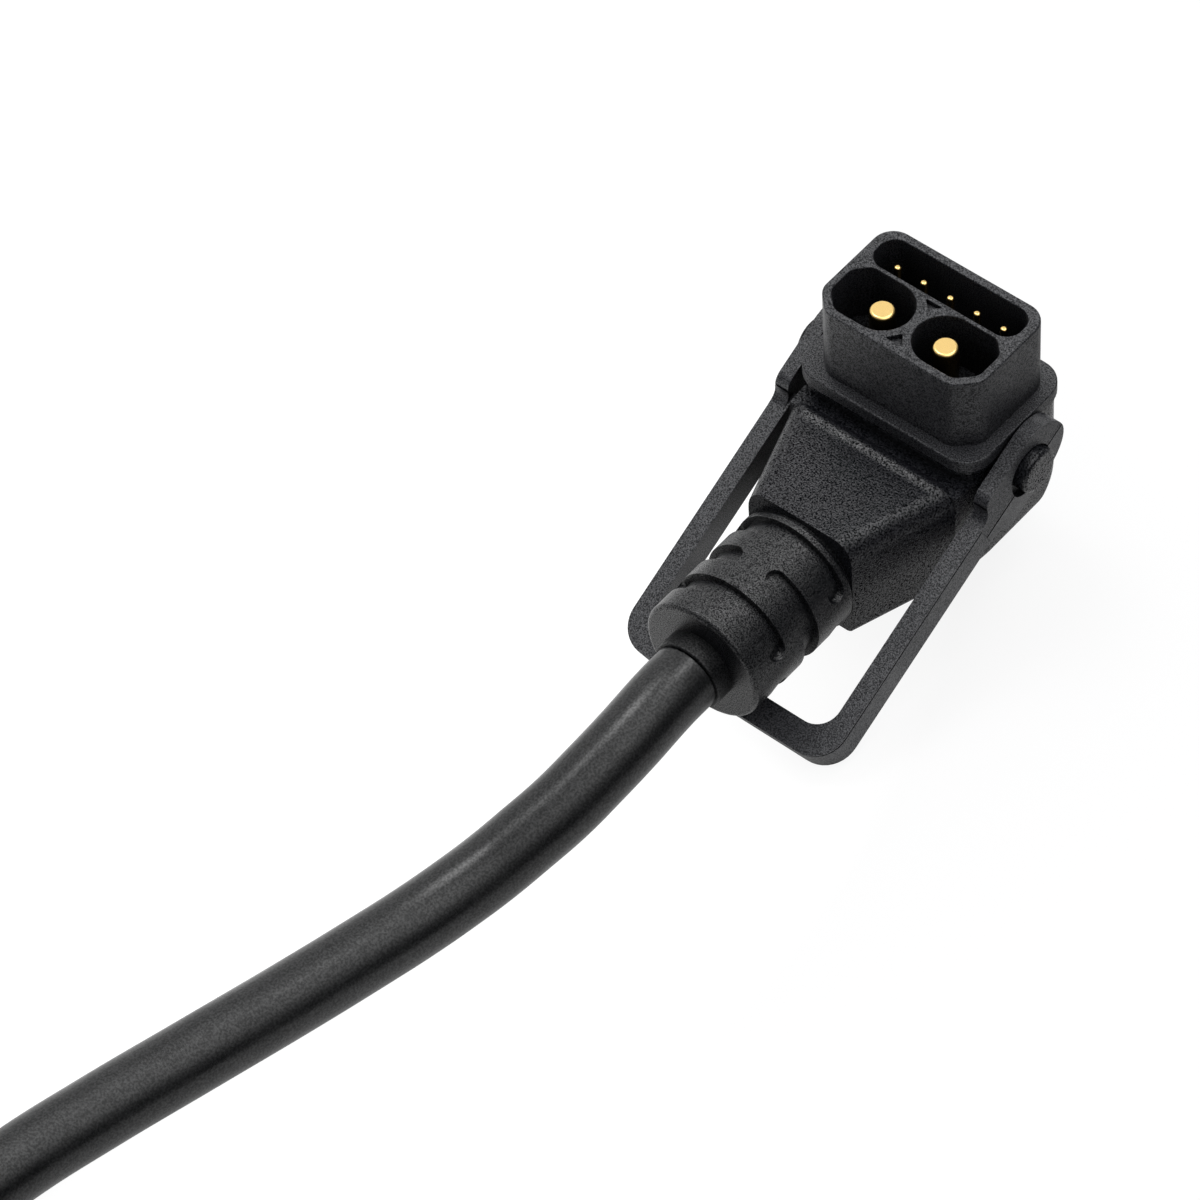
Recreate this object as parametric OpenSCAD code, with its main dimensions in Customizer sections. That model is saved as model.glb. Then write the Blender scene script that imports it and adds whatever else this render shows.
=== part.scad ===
// Right-angle battery swap plug with a swinging pull handle and a lead.
// Millimetres. The origin is the middle of the flange's seating face, +Z is
// the way the plug goes in, -Y is the way the lead leaves, and X runs along
// the two power contacts.

/* [Shroud] */
// Outside size of the shroud along the row of power contacts
shroud_w = 33.8; // [33.6:0.1:36]
// How far the shroud reaches from the middle on the power side
shroud_power_side = 11.1; // [11:0.1:12]
// How far the shroud reaches from the middle on the signal side
shroud_signal_side = 10.9; // [10.7:0.1:12]
// Height of the shroud above the flange
shroud_h = 15.6; // [14:0.1:18]
// Corner radius of the shroud on the power side
shroud_power_r = 6.6; // [5:0.2:7]
// Corner radius of the shroud on the signal side
shroud_signal_r = 4; // [3:0.5:6]
// Depth of the contact chambers below the rim
chamber_depth = 12; // [9:0.5:13]
// Depth of the two small coring pockets between the chambers
pocket_depth = 0.5; // [0.3:0.1:1]
// Width of a coring pocket
pocket_w = 3.5; // [2.4:0.1:4]
// Length of the coring pocket beside the signal chamber
signal_pocket_l = 1.6; // [1.2:0.1:2]
// Length of the coring pocket on the power side
power_pocket_l = 2.3; // [1.6:0.1:2.5]
// Wall left between a coring pocket and the edge or chamber beside it
pocket_wall = 0.9; // [0.8:0.1:1.4]

/* [Chambers] */
// Width of each power chamber, from its round end to its side wall
power_chamber_w = 14.5; // [14:0.05:14.9]
// Depth of each power chamber across the row
power_chamber_d = 11.1; // [10:0.1:11.2]
// Thickness of the waist between the two power chambers
waist = 1.9; // [1.5:0.1:2.5]
// Corner radius of a power chamber near the shroud's power side
power_chamber_outer_r = 5.2; // [3:0.1:5.4]
// Corner radius of a power chamber near the signal chamber
power_chamber_inner_r = 4.2; // [2:0.1:5]
// Length of the signal chamber along the row
signal_chamber_w = 30; // [29:0.1:31]
// Width of the signal chamber across the row
signal_chamber_d = 6.9; // [6:0.1:7]
// Corner radius of the signal chamber near the power chambers
signal_chamber_inner_r = 3; // [1:0.1:3.3]
// Corner radius of the signal chamber near the shroud's signal side
signal_chamber_outer_r = 3; // [1:0.1:3.3]

/* [Flange] */
// Overall length of the flange
flange_w = 38.4; // [38:0.1:39]
// Overall width of the flange
flange_d = 26.6; // [26:0.1:28]
// Corner radius of the flange
flange_r = 5; // [4:0.5:6]
// Thickness of the flange
flange_t = 2.5; // [2:0.1:3]
// Thickness of the overmoulded lip below the flange
lip_t = 0.8; // [0.5:0.1:1.2]
// How far the lip stands back from the flange's edge
lip_inset = 0.2; // [0.1:0.05:0.4]

/* [Power contacts] */
// Diameter of a power pin
power_pin_d = 4.5; // [4:0.1:5]
// Distance between the two power pins
power_pitch = 13.2; // [13:0.1:13.5]
// Distance of the power row from the middle
power_row = 4; // [3.9:0.05:4.1]
// How far the power pins stand below the rim
power_recess = 1.2; // [0.8:0.1:3]
// Diameter of the shoulder that locks a power contact
power_shoulder_d = 7.2; // [6.8:0.1:8]
// Thickness of that shoulder
power_shoulder_t = 1.2; // [1:0.1:1.8]
// Outside diameter of the solder cup
power_cup_d = 6.2; // [5.8:0.1:6.4]
// Depth of the solder cup
power_cup_depth = 4; // [3:0.5:5]
// Length of a power contact behind the flange
power_tail = 8; // [7.5:0.1:8.4]
// Diameter of a power contact's shank in the shroud's floor
power_shank_d = 5; // [4.8:0.1:5.6]

/* [Signal contacts] */
// Number of signal contacts
signal_count = 5; // [5]
// Diameter of a signal pin
signal_pin_d = 1.3; // [1:0.1:1.5]
// Distance from one signal pin to the next
signal_pitch = 5.56; // [5.3:0.02:5.7]
// Distance of the signal row from the middle
signal_row = 5.8; // [5.6:0.05:6]
// How far the signal pins stand below the rim
signal_recess = 2.4; // [1.5:0.1:4]
// Diameter of the shoulder that locks a signal contact
signal_shoulder_d = 2.2; // [2:0.1:2.6]
// Diameter of a signal contact's solder tail
signal_tail_d = 1; // [0.8:0.1:1.2]
// Length of a signal contact behind the flange
signal_tail = 7; // [6:0.1:8]
// Diameter of a signal contact's shank in the shroud's floor
signal_shank_d = 1.7; // [1.6:0.1:2]

/* [Wires] */
// Outside diameter of a power wire
power_wire_d = 4; // [3.6:0.1:4.1]
// Outside diameter of a signal wire
signal_wire_d = 1.1; // [0.9:0.05:1.15]
// Inner-bend radius of a power wire, at its middle
power_bend_r = 5; // [4.8:0.1:5.4]
// Inner-bend radius of a signal wire, at its middle
signal_bend_r = 4; // [3:0.1:5]
// Wall of the shrink sleeves over the soldered ends
sleeve_wall = 0.5; // [0.3:0.1:0.6]
// How far the power wires lie above the lead's middle where they enter it
power_wire_lift = 1.2; // [0.8:0.1:1.6]
// How far the signal wires lie below the lead's middle where they enter it
signal_wire_drop = 3.9; // [3.6:0.1:4.2]

/* [Body] */
// How far the body's sides stand back from the flange's ends
trunk_inset = 0.6; // [0.5:0.1:0.9]
// Rounding of the body's lower edge on the far side
heel_r = 9; // [7:0.5:10]
// How far the trunk reaches on the cable side
trunk_cable_side = 12; // [11.6:0.1:12.6]
// How far the trunk reaches on the other side
trunk_far_side = 12.9; // [12.4:0.1:13.1]
// Corner radius of the trunk
trunk_r = 4.5; // [3:0.5:5]
// Height of the body's back below the seating face
body_top = 5.1; // [4.9:0.1:5.4]
// Depth of the body's base below the seating face
body_base = 27.7; // [27:0.1:28.4]
// Where the tapering part begins, on the cable side
taper_front = 15.6; // [15:0.1:16.2]
// Where the tapering part ends, on the cable side
taper_rear = 34.8; // [34:0.1:36]
// Width of the tapering part at its front
taper_front_w = 35; // [34:0.1:35.4]
// Width of the tapering part at its rear
taper_rear_w = 22; // [21:0.1:24]
// Width of the rounding along the body's upper edges
crest_w = 3.6; // [2.5:0.1:4]
// Depth of the rounding along the body's upper edges
crest_h = 5.4; // [4:0.1:6]
// Width of the rounding at the front of the tapering part
crest_front = 2.4; // [1.5:0.1:2.6]
// Depth of the valley between the flange and the tapering part
valley = 1.9; // [1.4:0.1:2.4]
// Rounding along the body's lower edges
base_r = 1.6; // [0.8:0.1:2]
// Wall of the body round its core
body_wall = 3; // [2.5:0.1:3.2]
// Thickness of the plate that locks the contacts
carrier_t = 4; // [3:0.1:4.4]

/* [Strain relief] */
// Height of the lead's axis below the seating face
lead_drop = 17.4; // [17.2:0.1:17.6]
// Diameter of the strain relief
boot_d = 23.6; // [22.6:0.1:23.8]
// Length of the strain relief outside the body
boot_l = 26.2; // [26:0.1:28]
// Rounding at the strain relief's free end
boot_end_r = 0.9; // [0.6:0.1:2]
// Length of the neck next to the body
boot_neck_l = 0.8; // [0.5:0.1:1.2]
// Depth of that neck
boot_neck_depth = 0.9; // [0.5:0.1:1.5]
// Length of the anchor inside the body
anchor_l = 5.8; // [5:0.1:6.4]
// Diameter of the anchor's stem
anchor_stem_d = 16; // [15:0.1:17]
// Diameter of the anchor's flange
anchor_flange_d = 18.6; // [18:0.1:19]
// Thickness of the anchor's flange
anchor_flange_t = 2; // [1.5:0.1:2.5]
// Width of a flex slot
slot_w = 3.8; // [3:0.1:4.2]
// Depth of a flex slot
slot_depth = 1.3; // [0.8:0.1:1.8]
// Distance from the body to the middle of the first row of slots
slot_start = 4.1; // [3.6:0.1:4.6]
// Distance from one row of slots to the next
slot_pitch = 7.7; // [6.5:0.1:7.8]
// Half of the bridge left between two slots of a row, as an angle
slot_bridge = 14; // [8:1:24]
// Outside diameter of the sleeve at the lead's exit
exit_sleeve_d = 13.4; // [13.2:0.1:16]
// Length of that sleeve
exit_sleeve_l = 3.7; // [3:0.1:5]

/* [Handle] */
// Height of the handle's axis below the seating face
pivot_drop = 7.3; // [7.2:0.1:7.6]
// Distance of the handle's axis from the middle, on the cable side
pivot_back = 1.4; // [1:0.1:1.8]
// Gap between the grip and the strain relief's underside at rest
grip_gap = 0.6; // [0.3:0.1:2]
// Thickness of an arm
arm_t = 3.4; // [3:0.1:3.5]
// Depth of an arm and of the grip bar
arm_d = 6.2; // [5:0.1:6.4]
// Distance from the axis to the outside of the grip bar
handle_l = 61; // [60.8:0.1:62]
// Width of the grip bar
grip_w = 5; // [4:0.1:5.2]
// Outer corner radius of the grip
grip_outer_r = 6; // [4:0.5:8]
// Inner corner radius of the grip
grip_inner_r = 4.4; // [3:0.1:6]
// Gap between a hub and the flange's end
hub_gap = 0.5; // [0.4:0.1:0.8]
// How far an arm stands back from its hub's outside
arm_inset = 0.25; // [0.1:0.05:0.8]
// Thickness of a hub
hub_t = 3.2; // [3:0.1:3.3]
// Half of a hub's depth
hub_half = 7; // [6.4:0.1:7.2]
// Distance from the axis to the hub's round end
hub_reach = 8.8; // [8.4:0.1:9.2]
// Length of a hub towards the grip
hub_tail = 10.8; // [10:0.1:12]
// How much thinner a hub is at its edges than along its middle
hub_draft = 0.5; // [0.2:0.1:0.8]
// Corner radius where a hub steps down to its arm
hub_step_r = 2.5; // [1.5:0.1:2.8]
// Diameter of the trunnion that carries a hub
trunnion_d = 8.4; // [8:0.1:8.8]
// How far a trunnion stands proud of its hub
trunnion_proud = 1.5; // [1:0.1:2]
// Radial running clearance between a trunnion and its eye
eye_clearance = 0.05; // [0.02:0.01:0.1]
// Depth of the relief round the eye
eye_relief_depth = 1.5; // [1:0.1:2]
// Extra radius of the relief round the eye
eye_relief = 0.8; // [0.7:0.05:1]
// How far the relief is shifted towards the grip
eye_relief_shift = 0.6; // [0:0.05:0.6]
// Gap between a hub and the boss beside it
boss_gap = 0.3; // [0.2:0.05:0.4]
// Diameter of the boss beside a hub
boss_d = 12; // [10:0.1:13]
// Depth of the mould-line groove
seam_depth = 0.3; // [0.2:0.05:0.4]
// Width of the mould-line groove
seam_w = 0.4; // [0.2:0.05:0.5]

/* [Lead] */
// Outside diameter of the lead
lead_d = 12.4; // [12.4]
// Radial clearance between pieces that slide together
slip = 0.05; // [0.03:0.01:0.08]
// Radius of the lead's coil, at the lead's middle
coil_r = 62.5; // [62:0.5:65]

/* [Hidden] */
$fn = 48;
// A cut reaches this far past the face that it opens
over = 0.5;
// Rounding of the small edges on turned pieces
pin_edge_r = 1;
rim_z = shroud_h;
floor_z = shroud_h - chamber_depth;
lip_z = -flange_t - lip_t;
carrier_z = lip_z - carrier_t;
power_cup_z = -flange_t - lip_t - power_tail;
power_chamber_x = waist / 2;
power_chamber_end = power_chamber_x + power_chamber_w;
power_chamber_low = -power_row - power_chamber_d / 2;
signal_chamber_low = signal_row - signal_chamber_d / 2;
trunk_w = flange_w - 2 * trunk_inset;
signal_x = [for (i = [0:signal_count - 1]) (i - (signal_count - 1) / 2) * signal_pitch];

// The wires settle side by side where they enter the lead
wire_end_y = -taper_rear + anchor_l + 0.4;
power_wire_z = -lead_drop + power_wire_lift;
power_wire_end_x = 2.5;
signal_wire_z = -lead_drop - signal_wire_drop;
signal_wire_end_pitch = 1.5;
signal_sleeve_l = 3.5;
power_sleeve_l = 3.8;

// The core fills the body inside its wall
core_base = -body_base + body_wall;
core_w = trunk_w - 2 * body_wall;
core_low = -trunk_cable_side + body_wall;
core_high = trunk_far_side - body_wall;
core_throat_w = 18;
core_throat_top = -body_top - body_wall;

// The handle lies along its own -Y, turned down until its grip is under the strain relief
hub_outer = flange_w / 2 + hub_gap + hub_t;
handle_w = 2 * (hub_outer - arm_inset);
grip_inside = handle_l - grip_w;
grip_drop = lead_drop + boot_d / 2 + grip_gap - pivot_drop;
rest_angle = asin(grip_drop / norm([grip_inside, arm_d / 2])) + atan2(arm_d / 2, grip_inside);
trunnion_end = hub_outer + trunnion_proud;
boss_end = hub_outer - hub_t - boss_gap;
trunnion_edge = 0.7;
arm_start = hub_tail - 0.8;

// The part stands on the lowest line of its grip and on its lead
table_z = -pivot_drop - handle_l * sin(rest_angle) - arm_d / 2 * cos(rest_angle);

lead_r = lead_d / 2;
lead_low = table_z + lead_r;
lead_sides = 12;
// Points that the lead's middle line passes, from its sleeve to its coil
LEAD_ROUTE = [
    [0, -64.7, -17.4], [0, -70, -17.5], [-0.2, -80, -19.2], [-1, -87, -21.3], [-2.2, -94.5, -23.8],
    [-4, -101.5, -26.2], [-6, -108.5, -28.6], [-8, -115.5, -30.2], [-10, -123, -31.15], [-12, -131, lead_low],
    [-15.5, -145, lead_low], [-20.5, -163.5, lead_low], [-25.5, -182, lead_low], [-29, -197, lead_low],
    [-31, -212, lead_low], [-31.5, -227, lead_low], [-31.5, -242, lead_low], [-31.5, -261, lead_low]
];
// The coil: one turn on the table, then the rest of the lead on top of it
route_end = LEAD_ROUTE[len(LEAD_ROUTE) - 1];
coil_middle = route_end + [coil_r, 0, 0];
coil_climb_end = 150;
coil_end_angle = 374;
// The stripped cores at the lead's far end
core_end_l = 34;
core_end_angle = core_end_l / coil_r * 180 / PI;
core_end_shift = -0.8;
core_end_lift = power_wire_d * 0.7;

// Rounded rectangle whose two sides across Y have their own corner radii
module rounded_outline(w, low, high, low_r, high_r) {
    polygon([
        [low_r - w / 2, low], [w / 2 - low_r, low], [w / 2, low + low_r], [w / 2, high - high_r],
        [w / 2 - high_r, high], [high_r - w / 2, high], [-w / 2, high - high_r], [-w / 2, low + low_r]
    ]);
    for (side = [-1, 1]) {
        translate([side * (w / 2 - low_r), low + low_r]) circle(r = low_r);
        translate([side * (w / 2 - high_r), high - high_r]) circle(r = high_r);
    }
}

// Lays a solid made along +Z so that it runs along -Y, at the lead's height
module along_lead(y) {
    translate([0, y, -lead_drop]) rotate([90, 0, 0]) children();
}

module on_both_sides() {
    children();
    mirror([1, 0, 0]) children();
}

// Chamber for one power pin: round towards the waist, cornered towards the side wall
module power_chamber_outline() {
    r = power_chamber_d / 2;
    middle = power_chamber_x + r;
    outer_x = power_chamber_end - power_chamber_outer_r;
    inner_x = power_chamber_end - power_chamber_inner_r;
    translate([0, -power_row]) {
        polygon([
            [middle, -r], [outer_x, -r], [power_chamber_end, power_chamber_outer_r - r],
            [power_chamber_end, r - power_chamber_inner_r], [inner_x, r], [middle, r]
        ]);
        translate([middle, 0]) circle(r = r);
        translate([outer_x, power_chamber_outer_r - r]) circle(r = power_chamber_outer_r);
        translate([inner_x, r - power_chamber_inner_r]) circle(r = power_chamber_inner_r);
    }
}

module signal_chamber_outline() {
    rounded_outline(
        signal_chamber_w, signal_chamber_low, signal_chamber_low + signal_chamber_d,
        signal_chamber_inner_r, signal_chamber_outer_r
    );
}

// Small three-cornered coring pockets at the two ends of the waist
module coring_pockets() {
    half = pocket_w / 2;
    signal_side = signal_chamber_low - pocket_wall;
    power_side = -shroud_power_side + 2 * pocket_wall;
    translate([0, 0, rim_z - pocket_depth]) linear_extrude(pocket_depth + over) {
        polygon([[-half, signal_side], [0, signal_side - signal_pocket_l], [half, signal_side]]);
        polygon([[-half, power_side], [0, power_side + power_pocket_l], [half, power_side]]);
    }
}

// Nose and flange, moulded in one piece
module shroud_housing() {
    color("#2b2c30") difference() {
        union() {
            linear_extrude(rim_z)
                rounded_outline(
                    shroud_w, -shroud_power_side, shroud_signal_side, shroud_power_r, shroud_signal_r
                );
            translate([0, 0, -flange_t]) linear_extrude(flange_t)
                rounded_outline(flange_w, -flange_d / 2, flange_d / 2, flange_r, flange_r);
        }
        translate([0, 0, floor_z]) linear_extrude(chamber_depth + over) {
            on_both_sides() power_chamber_outline();
            signal_chamber_outline();
        }
        coring_pockets();
        for (side = [-1, 1])
            translate([side * power_pitch / 2, -power_row, -flange_t - over])
                cylinder(h = floor_z + flange_t + 2 * over, d = power_shank_d + 2 * slip);
        for (x = signal_x)
            translate([x, signal_row, -flange_t - over])
                cylinder(h = floor_z + flange_t + 2 * over, d = signal_shank_d + 2 * slip);
    }
}

// Plate behind the flange that keeps the contacts from being pushed back
module contact_carrier() {
    shoulder_z = -flange_t - power_shoulder_t;
    color("#3a3c40") difference() {
        translate([0, 0, carrier_z]) linear_extrude(-flange_t - carrier_z)
            rounded_outline(core_w - 2 * slip, core_low + slip, core_high - slip, 2, 2);
        for (side = [-1, 1])
            translate([side * power_pitch / 2, -power_row, 0]) {
                translate([0, 0, carrier_z - over]) cylinder(h = carrier_t + 2, d = power_cup_d + 2 * slip);
                translate([0, 0, shoulder_z]) cylinder(h = power_shoulder_t + over, d = power_shoulder_d + 2 * slip);
            }
        for (x = signal_x)
            translate([x, signal_row, 0]) {
                translate([0, 0, carrier_z - over]) cylinder(h = carrier_t + 2, d = signal_tail_d + 2 * slip);
                translate([0, 0, shoulder_z])
                    cylinder(h = power_shoulder_t + over, d = signal_shoulder_d + 2 * slip);
            }
    }
}

// Pin, locking shoulder and solder cup, turned in one piece
module power_pin(side) {
    r = power_pin_d / 2;
    tip_z = rim_z - power_recess;
    color("#e3c06a") translate([side * power_pitch / 2, -power_row, 0]) difference() {
        union() {
            translate([0, 0, -flange_t]) cylinder(h = floor_z + flange_t, d = power_shank_d);
            translate([0, 0, floor_z]) cylinder(h = tip_z - pin_edge_r - floor_z, r = r);
            translate([0, 0, tip_z - pin_edge_r]) cylinder(h = pin_edge_r, r = r - pin_edge_r);
            translate([0, 0, tip_z - pin_edge_r]) rotate_extrude()
                translate([r - pin_edge_r, 0]) circle(r = pin_edge_r);
            translate([0, 0, -flange_t - power_shoulder_t]) cylinder(h = power_shoulder_t, d = power_shoulder_d);
            translate([0, 0, power_cup_z])
                cylinder(h = -flange_t - power_shoulder_t - power_cup_z, d = power_cup_d);
        }
        translate([0, 0, power_cup_z - over]) cylinder(h = power_cup_depth + over, d = power_wire_d + 2 * slip);
    }
}

// Slim pin with a round nose, a shoulder and a solder tail
module signal_pin(i) {
    r = signal_pin_d / 2;
    tip_z = rim_z - signal_recess;
    tail_z = lip_z - signal_tail;
    color("#e3c06a") translate([signal_x[i], signal_row, 0]) {
        translate([0, 0, -flange_t]) cylinder(h = floor_z + flange_t, d = signal_shank_d);
        translate([0, 0, floor_z]) cylinder(h = tip_z - r - floor_z, r = r);
        translate([0, 0, tip_z - r]) sphere(r = r);
        translate([0, 0, -flange_t - power_shoulder_t]) cylinder(h = power_shoulder_t, d = signal_shoulder_d);
        translate([0, 0, tail_z]) cylinder(h = -flange_t - power_shoulder_t - tail_z, d = signal_tail_d);
    }
}

// A wire that goes down from (x, y, top_z), bends and runs level to end_x at wire_end_y
module bent_wire(x, y, top_z, level_z, end_x, bend_r, d) {
    turn = atan2(end_x - x, y - wire_end_y);
    run = norm([end_x - x, y - wire_end_y]) - bend_r;
    translate([x, y, 0]) rotate([0, 0, turn]) {
        translate([0, 0, level_z + bend_r]) cylinder(h = top_z - level_z - bend_r, d = d);
        translate([0, -bend_r, level_z + bend_r]) rotate([0, 90, 0]) rotate_extrude(angle = 90)
            translate([bend_r, 0]) circle(d = d);
        translate([0, -bend_r, level_z]) rotate([90, 0, 0]) cylinder(h = run, d = d);
    }
}

module power_wire(side, grow = 0) {
    bent_wire(
        side * power_pitch / 2, -power_row, power_cup_z + power_cup_depth, power_wire_z,
        side * power_wire_end_x, power_bend_r, power_wire_d + 2 * grow
    );
}

module signal_wire(i, grow = 0) {
    bent_wire(
        signal_x[i], signal_row, lip_z - signal_tail, signal_wire_z,
        (i - (signal_count - 1) / 2) * signal_wire_end_pitch, signal_bend_r, signal_wire_d + 2 * grow
    );
}

// Shrink sleeve over a solder cup and the end of its wire
module power_sleeve(side, grow = 0) {
    r = power_cup_d / 2 + slip;
    translate([side * power_pitch / 2, -power_row, power_cup_z]) difference() {
        cylinder(h = power_sleeve_l, r = r + sleeve_wall + grow);
        if (grow == 0) translate([0, 0, -over]) cylinder(h = power_sleeve_l + 2 * over, r = r);
    }
}

module signal_sleeve(i, grow = 0) {
    r = signal_wire_d / 2 + slip;
    bottom = lip_z - signal_tail - 1;
    translate([signal_x[i], signal_row, bottom]) difference() {
        cylinder(h = signal_sleeve_l, r = r + sleeve_wall / 2 + grow);
        if (grow == 0) translate([0, 0, -over]) cylinder(h = signal_sleeve_l + 2 * over, r = r);
    }
}

module signal_sleeves() {
    color("#1a1a1a") for (i = [0:signal_count - 1]) signal_sleeve(i);
}

// All that lies inside a far side at y and above a base at z, with the edge between them rounded
module inside_heel(y, z, r) {
    rotate([90, 0, 90]) linear_extrude(2 * trunk_w, center = true) {
        polygon([[-trunk_w, z], [y - r, z], [y, z + r], [y, over], [-trunk_w, over]]);
        translate([y - r, z + r]) circle(r = r);
    }
}

// The room inside the body for the carrier, the core, the wires and the anchor
module core_shape() {
    intersection() {
        translate([0, 0, core_base]) linear_extrude(carrier_z - core_base)
            rounded_outline(core_w, core_low, core_high, 2, 2);
        inside_heel(core_high, core_base, heel_r - body_wall);
    }
    translate([-core_throat_w / 2, -taper_rear + anchor_l, core_base])
        cube([core_throat_w, taper_rear - anchor_l + core_low + over, core_throat_top - core_base]);
}

// First shot of the moulding: it seals the soldered ends and the wires
module body_core() {
    color("#34363a") difference() {
        core_shape();
        for (side = [-1, 1]) {
            translate([side * power_pitch / 2, -power_row, power_cup_z - over])
                cylinder(h = 2 * power_tail, d = power_cup_d + 2 * slip);
            power_wire(side, slip);
            power_sleeve(side, slip);
        }
        for (i = [0:signal_count - 1]) {
            translate([signal_x[i], signal_row, lip_z - signal_tail])
                cylinder(h = 2 * signal_tail, d = signal_tail_d + 2 * slip);
            signal_wire(i, slip);
            signal_sleeve(i, slip);
        }
    }
}

// Tapering part of the body, with broad roundings along its upper edges
module taper_block() {
    slope = (taper_front_w - taper_rear_w) / 2 / (taper_rear - taper_front);
    past_rear = 6;
    rear_y = -taper_rear - past_rear;
    front_half = taper_front_w / 2;
    rear_half = taper_rear_w / 2 - slope * past_rear;
    intersection() {
        hull() for (side = [-1, 1]) {
            translate([side * (front_half - crest_w), -taper_front, -body_top - crest_h])
                scale([crest_w, crest_front, crest_h]) sphere(r = 1, $fn = 32);
            translate([side * (rear_half - crest_w), rear_y, -body_top - crest_h])
                scale([crest_w, crest_front, crest_h]) sphere(r = 1, $fn = 32);
            translate([side * (front_half - base_r), -taper_front + base_r, -body_base + base_r])
                sphere(r = base_r, $fn = 32);
            translate([side * (rear_half - base_r), rear_y, -body_base + base_r])
                sphere(r = base_r, $fn = 32);
        }
        translate([-trunk_w, -taper_rear, -body_base - over])
            cube([2 * trunk_w, taper_rear, body_base]);
    }
}

// Upright part of the body under the flange, with its lip
module trunk() {
    floor_h = body_base - body_top - valley;
    intersection() {
        translate([0, 0, -body_base]) linear_extrude(body_base + lip_z)
            rounded_outline(trunk_w, -trunk_cable_side, trunk_far_side, trunk_r, trunk_r);
        inside_heel(trunk_far_side, -body_base, heel_r);
    }
    translate([0, 0, lip_z]) linear_extrude(lip_t)
        rounded_outline(
            flange_w - 2 * lip_inset, lip_inset - flange_d / 2, flange_d / 2 - lip_inset, flange_r, flange_r
        );
    translate([0, 0, -body_base]) linear_extrude(floor_h)
        polygon([
            [-taper_front_w / 2, -taper_front], [taper_front_w / 2, -taper_front],
            [trunk_w / 2 - over, -trunk_cable_side + trunk_r], [over - trunk_w / 2, -trunk_cable_side + trunk_r]
        ]);
}

// Boss and trunnion on the body's right side, turned about X
module trunnion() {
    translate([0, -pivot_back, -pivot_drop]) rotate([0, 90, 0]) {
        difference() {
            translate([0, 0, trunk_w / 2 - over]) cylinder(h = boss_end - trunk_w / 2 + over, d = boss_d);
            translate([-boss_d - pivot_drop - lip_z, -boss_d, 0]) cube([boss_d, 2 * boss_d, 2 * boss_end]);
        }
        translate([0, 0, boss_end - over]) cylinder(h = trunnion_end - trunnion_edge - boss_end + over, d = trunnion_d);
        translate([0, 0, trunnion_end - trunnion_edge])
            cylinder(h = trunnion_edge, d1 = trunnion_d, d2 = trunnion_d - 2 * trunnion_edge);
    }
}

// Outer moulding, with the two trunnions that carry the handle
module body_overmould() {
    color("#1e1f22") difference() {
        union() {
            trunk();
            taper_block();
            on_both_sides() trunnion();
        }
        core_shape();
        translate([0, 0, carrier_z - over]) linear_extrude(-carrier_z + over)
            rounded_outline(core_w, core_low, core_high, 2, 2);
        along_lead(-taper_rear + anchor_l) {
            cylinder(h = anchor_flange_t, d = anchor_flange_d);
            cylinder(h = anchor_l + over, d = anchor_stem_d);
        }
    }
}

// One flex slot: a shallow channel round the boot with round ends
module flex_slot(from, to) {
    floor_r = boot_d / 2 - slot_depth;
    rotate([0, 0, from]) rotate_extrude(angle = to - from)
        translate([floor_r, -slot_w / 2]) square([slot_depth + over, slot_w]);
    for (a = [from, to])
        rotate([0, 0, a]) translate([floor_r, 0, 0]) rotate([0, 90, 0])
            cylinder(h = slot_depth + over, d = slot_w);
}

// Flexible boot round the lead, anchored in the body
module strain_relief() {
    r = boot_d / 2;
    end_cap = asin(slot_w / boot_d);
    gap = slot_bridge + end_cap;
    color("#1d1e20") along_lead(-taper_rear) difference() {
        union() {
            translate([0, 0, -anchor_l]) cylinder(h = anchor_flange_t, d = anchor_flange_d - 2 * slip);
            translate([0, 0, -anchor_l]) cylinder(h = anchor_l + over, d = anchor_stem_d - 2 * slip);
            cylinder(h = boot_neck_l, r = r - boot_neck_depth);
            translate([0, 0, boot_neck_l]) cylinder(h = boot_l - boot_neck_l - boot_end_r, r = r);
            translate([0, 0, boot_l - boot_end_r]) cylinder(h = boot_end_r, r = r - boot_end_r);
            translate([0, 0, boot_l - boot_end_r]) rotate_extrude()
                translate([r - boot_end_r, 0]) circle(r = boot_end_r);
        }
        translate([0, 0, -anchor_l - over]) cylinder(h = anchor_l + boot_l + 2 * over, d = lead_d + 2 * slip);
        for (row = [0:2], half = [0:1])
            translate([0, 0, slot_start + row * slot_pitch])
                rotate([0, 0, half * 180 + (row == 1 ? 90 : 0)]) flex_slot(gap, 180 - gap);
    }
}

// Short smooth sleeve round the lead at the boot's end
module exit_sleeve() {
    edge = 0.5;
    r = exit_sleeve_d / 2;
    color("#121314") along_lead(-taper_rear - boot_l) difference() {
        union() {
            cylinder(h = exit_sleeve_l - edge, r = r);
            translate([0, 0, exit_sleeve_l - edge]) cylinder(h = edge, r1 = r, r2 = r - edge);
        }
        translate([0, 0, -over]) cylinder(h = exit_sleeve_l + 2 * over, d = lead_d + 2 * slip);
    }
}

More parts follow.
